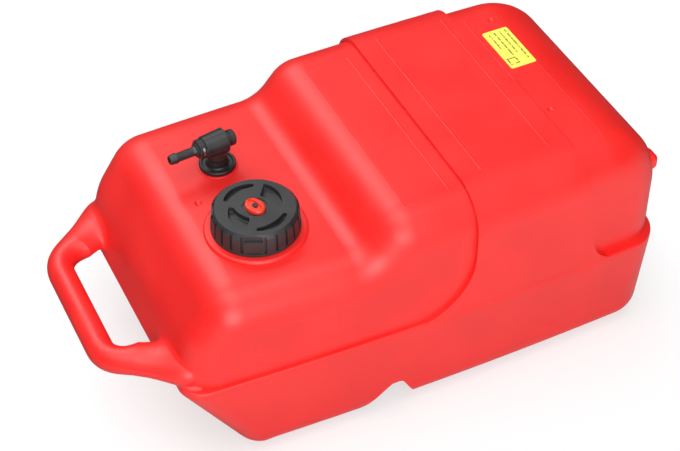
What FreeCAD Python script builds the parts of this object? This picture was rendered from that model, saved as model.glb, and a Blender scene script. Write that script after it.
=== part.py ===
import FreeCAD, Part
import os
from math import acos, atan2, cos, hypot, pi, radians, sin, sqrt, tan

# Outboard fuel tank, millimetres
# +Z up, base on z = 0, +X towards the high rear end, handle at -X, x = 0 mid length

V = FreeCAD.Vector
X_AXIS = V(1, 0, 0)
Y_AXIS = V(0, 1, 0)
Z_AXIS = V(0, 0, 1)

# Plan of the tank: gently bowed sides
BOW_RADIUS = 4200.0
BOW_CENTRE_X = 60.0
HALF_WIDTH = 138.5
FRONT_X = -205.0
REAR_X = 259.0
FRONT_CORNER = 22.0
REAR_CORNER = 34.0

# Heights
PARTING_Z = 98.5
SHOULDER_Z = 105.0
DECK_Z = 189.4
TOP_Z = 222.2
WALL = 3.0

# Lower half
BASE_FRONT_X = -147.0
BASE_REAR_X = 255.0
BASE_INSET = 7.2
BASE_ROUND = 26.0
BASE_FRONT_CORNER = 29.0
BASE_REAR_CORNER = 32.0
FRONT_RAKE = radians(60)

# Upper half
SIDE_INSET_LOW = 4.0
SIDE_INSET_TOP = 6.3
SIDE_ROUND = 34.0
REAR_INSET_LOW = 7.5
REAR_INSET_TOP = 8.5
REAR_FROM_X = 115.0
NOSE_FOOT_LEAN = radians(13)
NOSE_LEAN = radians(34)
NOSE_BREAK_X = -196.0
NOSE_BREAK_Z = 145.0
NOSE_BREAK_ROUND = 70.0
NOSE_ROUND = 38.0
TOP_RISE = 0.015
RAMP_SLOPE = radians(50)
RAMP_X = -22.0
RAMP_FOOT_ROUND = 24.0
RAMP_CREST_ROUND = 37.0
REAR_WALL_X = 257.0
REAR_TOP_ROUND = 62.0

# Belt around the rear deck
BELT_PROUD = 4.0
BELT_FOOT_TUCK = 0.5
BELT_FRONT_X = 60.0
BELT_REAR_X = 165.0
BELT_JOG = 9.0
BELT_JOG_Y = -10.0
BELT_CURVE_Z = 165.0
BELT_FOOT_X = 0.0

# Strap groove under the base
GROOVE_X = -8.0
GROOVE_DEPTH = 36.0

# Foot pads at the top of the rear end
PAD_Y = 104.0
PAD_HALF = 9.0
PAD_LOW_Z = 169.5
PAD_TOP_Z = 185.0
PAD_OUT_X = 256.0
PAD_ROUND = 5.0

# Handle
BAR_X = -250.9
BAR_HALF = 48.3
BAR_R = 11.9
BAR_Z = 109.6
BEND_OUT_R = 39.7
BEND_IN_R = 12.7
BEND_TURN = radians(54.5)
ARM_Z = 112.6
ARM_SECTIONS = [
    # x, middle y, half width, half height, degrees from X
    (-228.0, 74.3, 16.0, 11.2, 31.0),
    (-218.5, 80.0, 17.5, 11.0, 29.0),
    (-210.5, 84.5, 20.5, 12.0, 20.0),
    (-203.0, 87.5, 26.5, 14.5, 8.0),
    (-190.0, 88.0, 31.0, 19.0, 0.0),
]

# Filler neck and cap
CAP_X = -104.0
CAP_Y = -47.5
COLLAR_R = 44.4
COLLAR_TOP_Z = 192.5
COLLAR_ROUND = 2.6
NECK_R = 28.5
NECK_BORE_R = 24.5
NECK_TOP_Z = 204.0
THREAD_PITCH = 6.0
THREAD_DEEP = 2.0
THREAD_ROOT = 2.6
THREAD_CREST = 1.3
NECK_THREAD_Z = 194.8
NECK_THREAD_TURNS = 1.25
CORE_THREAD_START = 0.62
CORE_THREAD_TURNS = 1.0
GASKET_LIFT = 0.3
GASKET_THICK = 2.0
GASKET_Z = NECK_TOP_Z + GASKET_LIFT
CORE_PLATE_Z = GASKET_Z + GASKET_THICK
CORE_PLATE = 2.0
SHELL_PLATE_Z = CORE_PLATE_Z + CORE_PLATE
CORE_R = 33.3
CORE_BORE_R = 31.0
CORE_FOOT_Z = 194.0
CAP_TOP_Z = 214.0
CAP_FOOT_Z = 193.0
CAP_TOP_R = 37.4
CAP_FOOT_R = 38.2
CAP_CHAMFER = 3.2
CAP_TURN = 244.3
PANEL_FLAT_R = 36.8
PANEL_NOTCH_R = 34.7
PANEL_HALF = 7.6
PANEL_NOTCH = 6.0
GRIP_STEP = 15
GRIP_WIDE = 2.4
GRIP_DEEP = 1.6
POCKET_DEEP = 5.0
WIDE_POCKET = [
    # radius and degrees of the outer arc, then of the inner arc
    (29.5, 52.0), (26.0, 14.0), (21.6, -25.0),
    (18.0, -23.0), (14.4, 13.0), (13.8, 49.0),
]
SLIM_POCKET = [
    (27.8, -41.0), (29.8, -79.0), (28.4, -112.0),
    (25.2, -110.0), (23.6, -77.0), (24.6, -41.0),
]

# Vent in the cap
VENT_SEAT_R = 10.9
VENT_SEAT_Z = 213.2
KNOB_LONG = 10.0
KNOB_SHORT = 7.6
KNOB_FOOT_Z = 213.6
KNOB_TOP_Z = 216.8
KNOB_TURN = 287.0
KNOB_HOLLOW = 1.5
SPINDLE_R = 4.0
SPINDLE_NECK_R = 3.2
SPINDLE_TIP_R = 2.5
SPINDLE_FOOT_Z = 195.5
VENT_BORE_R = SPINDLE_R + 0.05
VALVE_R = 9.0
VALVE_TOP_Z = CORE_PLATE_Z - 0.3
VALVE_THICK = 1.8
VENT_HOLE_R = 1.0
VENT_HOLE_RING = 6.6
VENT_CLIP_Z = 197.0
VENT_CLIP_THICK = 1.0
COIL_R = 5.4
COIL_WIRE_R = 0.4

# Outlet fitting
OUT_X = -102.5
OUT_Y = 39.5
OUT_HOLE_R = 9.0
OUT_BOSS_R = 18.0
OUT_BOSS = 0.9
SHANK_R = 8.8
FLANGE_R = 16.3
FLANGE_THICK = 3.0
OUT_GASKET_THICK = 0.6
OUT_SEAT_Z = DECK_Z + OUT_BOSS
FLANGE_Z = OUT_SEAT_Z + OUT_GASKET_THICK
SHANK_FOOT_Z = 172.0
NIPPLE_FOOT_Z = 160.0
NUT_FLATS_R = 13.0
NUT_THICK = 5.0
SPIGOT_R = 5.8
SPIGOT_TOP_Z = 208.3
SWIVEL_GAP = 0.05
SOCKET_FOOT_Z = 199.8
SOCKET_R = 8.2
SNAP_Z = 202.6
SNAP_THICK = 1.0
STEM_RING_Z = 206.0
BARREL_Z = 215.5
BARREL_R = 10.0
BARREL_END_R = 11.2
BARREL_BORE_R = 6.0
BARREL_BACK = 13.2
BARREL_HALF = 8.5
SLEEVE_END = 18.9
SLEEVE_R = 8.8
CLIP_X = 15.3
CLIP_HALF = 0.9
ELBOW_TURN = 5.4
BORE_R = 2.6

# Hose barb and end plug, distances from the stem axis
BARB_TIP = 45.3
BARB_R = 4.05
BARB_RIDGE_R = 4.9
BARB_RIDGE = 38.6
BARB_SHOULDER = 20.6
BARB_SHOULDER_R = 6.6
BARB_INNER = 3.0
PLUG_END = 17.2
PLUG_R = 7.2
PLUG_INNER = 2.0
RING_SEAT_R = 4.75
RING_WIRE_R = 0.55
RING_MID_R = RING_SEAT_R + RING_WIRE_R
BARB_RING = 7.0
PLUG_RING = 5.6

# Check valve in the shank
CHAMBER_R = 4.2
CHAMBER_FOOT_Z = 177.0
CHAMBER_TOP_Z = 188.0
BALL_R = 3.4
BALL_LIFT = 0.3
BALL_COIL_R = 2.7
BALL_WIRE_R = 0.3

# Pick-up tube and strainer
TUBE_R = 6.2
TUBE_BORE_R = 5.0
TUBE_FOOT_Z = 26.0
CAGE_R = 9.0
CAGE_FOOT_Z = 9.0
CAGE_TOP_Z = 36.0
CAGE_WALL = 1.2
MESH_R = 7.7
MESH_THICK = 0.3

# Information label on the rear deck
LABEL_X = 185.5
LABEL_Y = 37.7
LABEL_LONG = 56.0
LABEL_WIDE = 26.0
LABEL_THICK = 0.3
LABEL_CORNER = 2.0


def cyl(r, z0, z1, x=0.0, y=0.0):
    return Part.makeCylinder(r, z1 - z0, V(x, y, z0), Z_AXIS)


def ring(r_out, r_in, z0, z1, x=0.0, y=0.0):
    return cyl(r_out, z0, z1, x, y).cut(cyl(r_in, z0 - 1, z1 + 1, x, y))


def cyl_x(r, x0, x1, y, z):
    return Part.makeCylinder(r, x1 - x0, V(x0, y, z), X_AXIS)


def box(x0, x1, y0, y1, z0, z1):
    return Part.makeBox(x1 - x0, y1 - y0, z1 - z0, V(x0, y0, z0))


def turned(points, x=0.0, y=0.0):
    # solid of revolution about a vertical line from (radius, z) corners
    corners = [V(r, 0, z) for r, z in points]
    wire = Part.makePolygon(corners + [corners[0]])
    body = Part.Face(wire).revolve(V(0, 0, 0), Z_AXIS, 360)
    body.translate(V(x, y, 0))
    return body


def turned_x(points, y, z):
    # solid of revolution about a line along X from (x, radius) corners
    corners = [V(px, 0, r) for px, r in points]
    wire = Part.makePolygon(corners + [corners[0]])
    body = Part.Face(wire).revolve(V(0, 0, 0), X_AXIS, 360)
    body.translate(V(0, y, z))
    return body


def round_edges(body, radius, chosen):
    # rounds the chosen edges, or leaves them sharp if the corner is too tight
    edges = [e for e in body.Edges if chosen(e)]
    try:
        rounded = body.makeFillet(radius, edges)
        if rounded.isValid() and rounded.Volume > 0:
            return rounded
    except Exception:
        pass
    print("left sharp:", len(edges), "edges at radius", radius)
    return body


def one_solid(shape):
    return max(shape.Solids, key=lambda s: s.Volume)


def rounded_outline(corners, radii):
    # closed XZ outline; radii belong to the corners, 0 keeps one sharp
    count = len(corners)
    edges = []
    joints = []
    for i in range(count):
        before = corners[i - 1]
        here = corners[i]
        after = corners[(i + 1) % count]
        r = radii[i]
        if r <= 0:
            joints.append((here, None, here))
            continue
        u = (before[0] - here[0], before[1] - here[1])
        w = (after[0] - here[0], after[1] - here[1])
        u = (u[0] / hypot(*u), u[1] / hypot(*u))
        w = (w[0] / hypot(*w), w[1] / hypot(*w))
        half = acos(u[0] * w[0] + u[1] * w[1]) / 2
        run = r / tan(half)
        mid = (u[0] + w[0], u[1] + w[1])
        reach = (r / sin(half) - r) / hypot(*mid)
        start = (here[0] + u[0] * run, here[1] + u[1] * run)
        end = (here[0] + w[0] * run, here[1] + w[1] * run)
        joints.append((start, (here[0] + mid[0] * reach, here[1] + mid[1] * reach), end))
    for i in range(count):
        start, middle, end = joints[i]
        if middle:
            arc = Part.Arc(V(start[0], 0, start[1]), V(middle[0], 0, middle[1]), V(end[0], 0, end[1]))
            edges.append(arc.toShape())
        nxt = joints[(i + 1) % count][0]
        if hypot(nxt[0] - end[0], nxt[1] - end[1]) > 1e-6:
            edges.append(Part.LineSegment(V(end[0], 0, end[1]), V(nxt[0], 0, nxt[1])).toShape())
    return Part.Wire(edges)


def across(wire, half_width=200.0):
    face = Part.Face(wire)
    face.translate(V(0, -half_width, 0))
    return face.extrude(V(0, 2 * half_width, 0))


# Tank shell

def plan_wire(z, inset, front_x, rear_x, r_front, r_rear):
    # closed plan at height z: straight ends, bowed sides and four round corners
    centre_y = HALF_WIDTH - inset - BOW_RADIUS

    def corner(line_x, r, sign):
        cx = line_x + sign * r
        cy = centre_y + sqrt((BOW_RADIUS - r) ** 2 - (cx - BOW_CENTRE_X) ** 2)
        reach = BOW_RADIUS / hypot(cx - BOW_CENTRE_X, cy - centre_y)
        side = (BOW_CENTRE_X + (cx - BOW_CENTRE_X) * reach, centre_y + (cy - centre_y) * reach)
        a_side = atan2(side[1] - cy, side[0] - cx)
        a_mid = (a_side + (pi if sign > 0 else 0.0)) / 2
        return (line_x, cy), (cx + r * cos(a_mid), cy + r * sin(a_mid)), side

    def at(point, flip=1):
        return V(point[0], flip * point[1], z)

    f_line, f_mid, f_side = corner(front_x, r_front, 1)
    r_line, r_mid, r_side = corner(rear_x, r_rear, -1)
    bow = (BOW_CENTRE_X, HALF_WIDTH - inset)
    edges = [
        Part.LineSegment(at(f_line, -1), at(f_line)),
        Part.Arc(at(f_line), at(f_mid), at(f_side)),
        Part.Arc(at(f_side), at(bow), at(r_side)),
        Part.Arc(at(r_side), at(r_mid), at(r_line)),
        Part.LineSegment(at(r_line), at(r_line, -1)),
        Part.Arc(at(r_line, -1), at(r_mid, -1), at(r_side, -1)),
        Part.Arc(at(r_side, -1), at(bow, -1), at(f_side, -1)),
        Part.Arc(at(f_side, -1), at(f_mid, -1), at(f_line, -1)),
    ]
    return Part.Wire([e.toShape() for e in edges])


def lower_half(shrink):
    # drafted pan with a rounded foot; shrink gives the inside of the wall
    rake_shift = shrink / sin(FRONT_RAKE) - shrink / tan(FRONT_RAKE)
    foot = plan_wire(shrink, BASE_INSET + shrink, BASE_FRONT_X + rake_shift, BASE_REAR_X - shrink,
                     BASE_FRONT_CORNER - shrink, BASE_REAR_CORNER - shrink)
    top = plan_wire(PARTING_Z, shrink, FRONT_X + shrink, REAR_X - shrink,
                    FRONT_CORNER - shrink, REAR_CORNER - shrink)
    pan = Part.makeLoft([foot, top], True, True)
    return round_edges(pan, BASE_ROUND - shrink, lambda e: e.BoundBox.ZMax < shrink + 0.01)


def side_profile(grow):
    # XZ outline of the upper half: nose, deck, ramp, rear deck and rear wall
    lines = [
        ((NOSE_BREAK_X, NOSE_BREAK_Z), (sin(NOSE_FOOT_LEAN), cos(NOSE_FOOT_LEAN))),
        ((NOSE_BREAK_X, NOSE_BREAK_Z), (sin(NOSE_LEAN), cos(NOSE_LEAN))),
        ((-150.0, DECK_Z), (1.0, 0.0)),
        ((RAMP_X, (DECK_Z + TOP_Z) / 2), (cos(RAMP_SLOPE), sin(RAMP_SLOPE))),
        ((100.0, TOP_Z), (cos(TOP_RISE), sin(TOP_RISE))),
        ((REAR_WALL_X, 150.0), (0.0, -1.0)),
        ((0.0, PARTING_Z), (-1.0, 0.0)),
    ]
    moved = []
    for i, (point, way) in enumerate(lines):
        out = grow if i < 6 else 0.0
        moved.append(((point[0] - way[1] * out, point[1] + way[0] * out), way))
    corners = []
    for i in range(7):
        (x1, y1), (a1, b1) = moved[i - 1]
        (x2, y2), (a2, b2) = moved[i]
        t = ((x2 - x1) * b2 - (y2 - y1) * a2) / (a1 * b2 - b1 * a2)
        corners.append((x1 + a1 * t, y1 + b1 * t))
    radii = [0.0, NOSE_BREAK_ROUND + grow, NOSE_ROUND + grow, RAMP_FOOT_ROUND - grow, RAMP_CREST_ROUND + grow,
             REAR_TOP_ROUND + grow, 0.0]
    return rounded_outline(corners, radii)


def bowed_slab(inset_low, inset_top):
    # both bowed side walls, drafted inwards with height
    def wire(z):
        share = (z - SHOULDER_Z) / (TOP_Z - SHOULDER_Z)
        y = HALF_WIDTH - inset_low - (inset_top - inset_low) * share
        reach = 330.0
        y_end = y - (BOW_RADIUS - sqrt(BOW_RADIUS ** 2 - reach ** 2))
        x1, x2 = BOW_CENTRE_X - reach, BOW_CENTRE_X + reach
        far = Part.Arc(V(x1, y_end, z), V(BOW_CENTRE_X, y, z), V(x2, y_end, z)).toShape()
        rear = Part.LineSegment(V(x2, y_end, z), V(x2, -y_end, z)).toShape()
        near = Part.Arc(V(x2, -y_end, z), V(BOW_CENTRE_X, -y, z), V(x1, -y_end, z)).toShape()
        front = Part.LineSegment(V(x1, -y_end, z), V(x1, y_end, z)).toShape()
        return Part.Wire([far, rear, near, front])
    return Part.makeLoft([wire(PARTING_Z), wire(TOP_Z + 10)], True, True)


def pillow(grow, inset_low, inset_top):
    # rounded top between two bowed sides; grow moves its whole skin outwards
    body = across(side_profile(grow))
    body = body.common(bowed_slab(inset_low - grow, inset_top - grow)).Solids[0]

    def long_edge(e):
        box_of = e.BoundBox
        return box_of.ZMax > PARTING_Z + 0.01 and box_of.YMax - box_of.YMin < 100
    return round_edges(body, SIDE_ROUND + grow, long_edge)


def upper_half(grow):
    return pillow(grow, SIDE_INSET_LOW, SIDE_INSET_TOP)


def upper_shell(grow):
    # the upper half with its slimmer end behind the belt
    front = upper_half(grow).common(box(-300, REAR_FROM_X, -200, 200, 0, 260))
    rear = pillow(grow, REAR_INSET_LOW, REAR_INSET_TOP).common(box(REAR_FROM_X, 300, -200, 200, 0, 260))
    return front.fuse(rear)


def belt_stencil(jog):
    # XZ cut-out of the belt: upright front edge that sweeps forward at its foot
    foot = SHOULDER_Z - 2
    points = [
        V(BELT_FOOT_X - 40, 0, foot - 4),
        V(BELT_FOOT_X - 40, 0, foot),
        V(BELT_FOOT_X, 0, foot),
        V(BELT_FRONT_X, 0, BELT_CURVE_Z),
        V(BELT_FRONT_X, 0, 250),
        V(BELT_REAR_X - jog, 0, 250),
        V(BELT_REAR_X - jog, 0, 222),
        V(BELT_REAR_X + 13 - jog, 0, 169.5),
        V(BELT_REAR_X + 16 - jog, 0, 130),
        V(BELT_REAR_X + 43 - jog, 0, foot),
        V(BELT_REAR_X + 50, 0, foot),
        V(BELT_REAR_X + 50, 0, foot - 4),
    ]
    sweep = BELT_FRONT_X - BELT_FOOT_X
    front_mid = V(BELT_FOOT_X + sweep * sin(pi / 4), 0, BELT_CURVE_Z - sweep * cos(pi / 4) - 1)
    rear_mid = V(BELT_REAR_X + 23.5 - jog, 0, foot + 9)
    edges = []
    for i, p in enumerate(points):
        q = points[(i + 1) % len(points)]
        if i == 2:
            edges.append(Part.Arc(p, front_mid, q).toShape())
        elif i == 8:
            edges.append(Part.Arc(p, rear_mid, q).toShape())
        else:
            edges.append(Part.LineSegment(p, q).toShape())
    return Part.Wire(edges)


def belt():
    skin = pillow(BELT_PROUD, SIDE_INSET_LOW + BELT_FOOT_TUCK, SIDE_INSET_TOP)
    near = across(belt_stencil(0.0)).common(box(-300, 300, -200, BELT_JOG_Y, 0, 260))
    far = across(belt_stencil(BELT_JOG)).common(box(-300, 300, BELT_JOG_Y, 200, 0, 260))
    return skin.common(near.fuse(far).removeSplitter())


def rim():
    # raised lip that the two halves share
    wire = plan_wire(PARTING_Z, 0.0, FRONT_X, REAR_X, FRONT_CORNER, REAR_CORNER)
    lip = Part.Face(wire).extrude(V(0, 0, SHOULDER_Z - PARTING_Z))
    return round_edges(lip, 1.8, lambda e: e.BoundBox.ZMin > SHOULDER_Z - 0.01)


def groove(grow=0.0):
    # rounded channel across the base for a hold-down strap
    top = GROOVE_DEPTH + grow
    corners = [
        (GROOVE_X - 60 - grow, -5.0),
        (GROOVE_X - 47 - grow, 0.0),
        (GROOVE_X - 7 - grow, top),
        (GROOVE_X + 3 + grow, top),
        (GROOVE_X + 23 + grow, 0.0),
        (GROOVE_X + 34 + grow, -5.0),
    ]
    return across(rounded_outline(corners, [0, 12, 6, 6, 12, 0]))


def oval(centre, wide, high, angle):
    # closed oval section whose normal lies in plan at the given angle
    curve = Part.Ellipse(V(0, wide, 0), V(0, 0, high), V(0, 0, 0)).toShape()
    curve.Placement = FreeCAD.Placement(centre, FreeCAD.Rotation(Z_AXIS, angle * 180 / pi))
    return Part.Wire(curve)


def bend_sections():
    # each section joins a point of the bend's wide outer arc to one of its tight inner arc
    rows = [(BAR_X, BAR_HALF, BAR_Z, BAR_R, BAR_R, 90.0)]
    end_high = ARM_SECTIONS[0][3]
    for k in (1, 2, 3):
        out = BEND_TURN * k / 3
        inside = pi / 2 * k / 3
        x_out = BAR_X - BAR_R + BEND_OUT_R * (1 - cos(out))
        y_out = BAR_HALF + BEND_OUT_R * sin(out)
        x_in = BAR_X + BAR_R + BEND_IN_R * (1 - cos(inside))
        y_in = BAR_HALF + BEND_IN_R * sin(inside)
        wide = hypot(x_in - x_out, y_out - y_in) / 2
        high = BAR_R + (end_high - BAR_R) * k / 4
        angle = atan2(x_in - x_out, y_out - y_in) * 180 / pi
        z = BAR_Z + (ARM_Z - BAR_Z) * k / 4
        rows.append(((x_out + x_in) / 2, (y_out + y_in) / 2, z, wide, high, angle))
    return rows


def handle(shrink=0.0):
    # round grip bar whose ends bend into two arms that flare into the body
    arm = [(x, y, ARM_Z, wide, high, angle) for x, y, wide, high, angle in ARM_SECTIONS]
    parts = [Part.makeCylinder(BAR_R - shrink, 2 * BAR_HALF, V(BAR_X, -BAR_HALF, BAR_Z), Y_AXIS)]
    for flip in (-1, 1):
        for rows in (bend_sections() + arm[:1], arm):
            ovals = []
            for x, y, z, wide, high, angle in rows:
                ovals.append(oval(V(x, flip * y, z), wide - shrink, high - shrink, flip * radians(angle)))
            parts.append(Part.makeLoft(ovals, True, False))
    return parts


def rear_pads():
    pads = []
    for flip in (-1, 1):
        pad = box(235, PAD_OUT_X, flip * PAD_Y - PAD_HALF, flip * PAD_Y + PAD_HALF, PAD_LOW_Z, PAD_TOP_Z)
        pads.append(round_edges(pad, PAD_ROUND, lambda e: e.BoundBox.XMax > PAD_OUT_X - 0.01))
    return pads


def helix_ridge(radius, inward, z0, turns, x, y, start=0.0):
    # one screw ridge on a cylinder of the given radius; inward ridges stand towards the axis
    way = -1 if inward else 1
    sink = radius - way * 0.4
    helix = Part.makeHelix(THREAD_PITCH, THREAD_PITCH * turns, sink)
    half_root, half_crest = THREAD_ROOT / 2, THREAD_CREST / 2
    tip = radius + way * THREAD_DEEP
    corners = [V(sink, 0, -half_root), V(tip, 0, -half_crest), V(tip, 0, half_crest), V(sink, 0, half_root)]
    section = Part.makePolygon(corners + [corners[0]])
    ridge = Part.Wire(helix).makePipeShell([section], True, True)
    ridge.rotate(V(0, 0, 0), Z_AXIS, 360 * start)
    ridge.translate(V(x, y, z0 + THREAD_PITCH * start))
    return ridge


def dimple(x, y, z, r=2.6, deep=1.0):
    lift = (r * r - deep * deep) / (2 * deep)
    return Part.makeSphere(lift + deep, V(x, y, z + lift))


def tank_body():
    outer = lower_half(0.0).fuse([rim(), upper_shell(0.0), belt()] + handle() + rear_pads())
    outer = outer.cut(groove())
    inner = lower_half(WALL).fuse([upper_shell(-WALL)] + handle(WALL)).cut(groove(WALL))
    collar = cyl(COLLAR_R, DECK_Z - 1.5, COLLAR_TOP_Z, CAP_X, CAP_Y)
    collar = round_edges(collar, COLLAR_ROUND, lambda e: e.BoundBox.ZMin > COLLAR_TOP_Z - 0.01)
    neck = cyl(NECK_R, DECK_Z - WALL, NECK_TOP_Z, CAP_X, CAP_Y)
    boss = cyl(OUT_BOSS_R, DECK_Z - 1.5, OUT_SEAT_Z, OUT_X, OUT_Y)
    boss = round_edges(boss, 0.8, lambda e: e.BoundBox.ZMin > OUT_SEAT_Z - 0.01)
    outer = outer.fuse([collar, neck, boss])
    outer = outer.cut(inner)
    outer = outer.cut(cyl(NECK_BORE_R, DECK_Z - 10, NECK_TOP_Z + 1, CAP_X, CAP_Y))
    outer = outer.cut(cyl(OUT_HOLE_R, DECK_Z - 10, DECK_Z + 5, OUT_X, OUT_Y))
    outer = outer.fuse(helix_ridge(NECK_R, False, NECK_THREAD_Z, NECK_THREAD_TURNS, CAP_X, CAP_Y))
    for x, y in ((-136.0, 2.0), (190.9, 80.6), (175.6, -54.0)):
        surface = DECK_Z if x < RAMP_X else TOP_Z + (x - 100) * TOP_RISE
        outer = outer.cut(dimple(x, y, surface - 1.0))
    return one_solid(outer)


def info_label():
    window = box(LABEL_X - LABEL_WIDE / 2, LABEL_X + LABEL_WIDE / 2, LABEL_Y - LABEL_LONG / 2,
                 LABEL_Y + LABEL_LONG / 2, TOP_Z - 20, TOP_Z + 20)
    window = round_edges(window, LABEL_CORNER, lambda e: e.BoundBox.ZMax - e.BoundBox.ZMin > 30)
    return one_solid(upper_half(LABEL_THICK).common(window).cut(upper_half(0.0)))


# Filler cap

def spun(shape, degrees_round, x=CAP_X, y=CAP_Y):
    copy = shape.copy()
    copy.rotate(V(x, y, 0), Z_AXIS, degrees_round)
    return copy


def finger_pocket(corners):
    # curved pocket between two arcs, each through three points
    def at(point):
        r, degrees_round = point
        return V(CAP_X + r * cos(radians(degrees_round)), CAP_Y + r * sin(radians(degrees_round)),
                 CAP_TOP_Z - POCKET_DEEP)
    points = [at(p) for p in corners]
    edges = [Part.Arc(*points[:3]).toShape(), Part.LineSegment(points[2], points[3]).toShape(),
             Part.Arc(*points[3:]).toShape(), Part.LineSegment(points[5], points[0]).toShape()]
    pocket = Part.Face(Part.Wire(edges)).extrude(V(0, 0, POCKET_DEEP + 2))
    pocket = round_edges(pocket, 1.1, lambda e: e.BoundBox.ZMax - e.BoundBox.ZMin > POCKET_DEEP)
    return round_edges(pocket, 0.9, lambda e: e.BoundBox.ZMax < CAP_TOP_Z - POCKET_DEEP + 0.01)


def cap_shell():
    wall = [(0, CAP_TOP_Z), (CAP_TOP_R - CAP_CHAMFER, CAP_TOP_Z), (CAP_TOP_R, CAP_TOP_Z - CAP_CHAMFER),
            (CAP_FOOT_R, CAP_FOOT_Z + 1.5), (CAP_FOOT_R, CAP_FOOT_Z), (CORE_R, CAP_FOOT_Z),
            (CORE_R, SHELL_PLATE_Z), (0, SHELL_PLATE_Z)]
    body = turned(wall, CAP_X, CAP_Y)
    cutters = []
    for corners in (WIDE_POCKET, SLIM_POCKET):
        cutters += [spun(finger_pocket(corners), half) for half in (0, 180)]
    for k in range(4):
        flat = box(CAP_X + PANEL_FLAT_R, CAP_X + 50, CAP_Y - PANEL_HALF, CAP_Y + PANEL_HALF,
                   CAP_FOOT_Z + 2.5, 220)
        notch = box(CAP_X + PANEL_NOTCH_R, CAP_X + 50, CAP_Y - PANEL_HALF, CAP_Y + PANEL_HALF,
                    CAP_TOP_Z - PANEL_NOTCH, 220)
        cutters.append(spun(flat, CAP_TURN + 90 * k))
        cutters.append(spun(notch, CAP_TURN + 90 * k))
        for step in range(1, 6):
            groove_at = box(CAP_X + CAP_TOP_R - GRIP_DEEP, CAP_X + 50, CAP_Y - GRIP_WIDE / 2,
                            CAP_Y + GRIP_WIDE / 2, CAP_FOOT_Z + 2.5, 220)
            cutters.append(spun(groove_at, CAP_TURN + 90 * k + GRIP_STEP * step))
    body = body.cut(cutters)
    body = body.cut(cyl(VENT_SEAT_R, VENT_SEAT_Z, 220, CAP_X, CAP_Y))
    return body.cut(cyl(VENT_BORE_R, 200, 220, CAP_X, CAP_Y))


def cap_core():
    cup = ring(CORE_R, CORE_BORE_R, CORE_FOOT_Z, SHELL_PLATE_Z, CAP_X, CAP_Y)
    plate = ring(CORE_R, VENT_BORE_R, CORE_PLATE_Z, SHELL_PLATE_Z, CAP_X, CAP_Y)
    z0 = NECK_THREAD_Z - THREAD_PITCH / 2
    ridge = helix_ridge(CORE_BORE_R, True, z0, CORE_THREAD_TURNS, CAP_X, CAP_Y, CORE_THREAD_START)
    cup = cup.fuse([plate, ridge])
    for k in range(3):
        hole = cyl(VENT_HOLE_R, 200, 220, CAP_X + VENT_HOLE_RING, CAP_Y)
        cup = cup.cut(spun(hole, 120 * k))
    return one_solid(cup)


def cap_gasket():
    return ring(CORE_BORE_R - 0.2, NECK_BORE_R + 0.2, GASKET_Z, CORE_PLATE_Z, CAP_X, CAP_Y)


def vent_knob():
    grip = Part.Face(Part.Wire(Part.Ellipse(V(0, 0, 0), KNOB_LONG, KNOB_SHORT).toShape()))
    grip = grip.extrude(V(0, 0, KNOB_TOP_Z - KNOB_FOOT_Z))
    grip = round_edges(grip, 1.6, lambda e: e.BoundBox.ZMin > 2)
    hollow = Part.Face(Part.Wire(Part.Ellipse(V(0, 0, 0), KNOB_LONG - 1.2, 3.0).toShape()))
    hollow = hollow.extrude(V(0, 0, 10))
    hollow.translate(V(0, 0, KNOB_TOP_Z - KNOB_FOOT_Z - KNOB_HOLLOW))
    grip = grip.cut(hollow)
    grip.rotate(V(0, 0, 0), Z_AXIS, KNOB_TURN)
    grip.translate(V(CAP_X, CAP_Y, KNOB_FOOT_Z))
    return grip.cut(cyl(SPINDLE_TIP_R, 200, KNOB_FOOT_Z + 3, CAP_X, CAP_Y))


def vent_spindle():
    seal_z = (CORE_PLATE_Z + SHELL_PLATE_Z) / 2
    return turned([(0, SPINDLE_FOOT_Z), (SPINDLE_R - 0.6, SPINDLE_FOOT_Z), (SPINDLE_R, SPINDLE_FOOT_Z + 0.6),
                   (SPINDLE_R, VENT_CLIP_Z), (SPINDLE_NECK_R, VENT_CLIP_Z),
                   (SPINDLE_NECK_R, VENT_CLIP_Z + VENT_CLIP_THICK), (SPINDLE_R, VENT_CLIP_Z + VENT_CLIP_THICK),
                   (SPINDLE_R, seal_z - 0.5), (SPINDLE_NECK_R, seal_z - 0.5), (SPINDLE_NECK_R, seal_z + 0.5),
                   (SPINDLE_R, seal_z + 0.5), (SPINDLE_R, KNOB_FOOT_Z), (SPINDLE_TIP_R, KNOB_FOOT_Z),
                   (SPINDLE_TIP_R, KNOB_FOOT_Z + 3), (0, KNOB_FOOT_Z + 3)], CAP_X, CAP_Y)


def torus_z(mid, wire, x, y, z):
    return Part.makeTorus(mid, wire, V(x, y, z), Z_AXIS)


def vent_o_ring():
    wire = (SPINDLE_R - SPINDLE_NECK_R) / 2
    return torus_z(SPINDLE_NECK_R + wire, wire, CAP_X, CAP_Y, (CORE_PLATE_Z + SHELL_PLATE_Z) / 2)


def vent_valve():
    return ring(VALVE_R, VENT_BORE_R, VALVE_TOP_Z - VALVE_THICK, VALVE_TOP_Z, CAP_X, CAP_Y)


def vent_clip():
    clip = ring(7.0, SPINDLE_NECK_R, VENT_CLIP_Z, VENT_CLIP_Z + VENT_CLIP_THICK, CAP_X, CAP_Y)
    gap = box(CAP_X, CAP_X + 9, CAP_Y - 2.2, CAP_Y + 2.2, VENT_CLIP_Z - 1, VENT_CLIP_Z + 2)
    return clip.cut(gap)


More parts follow.
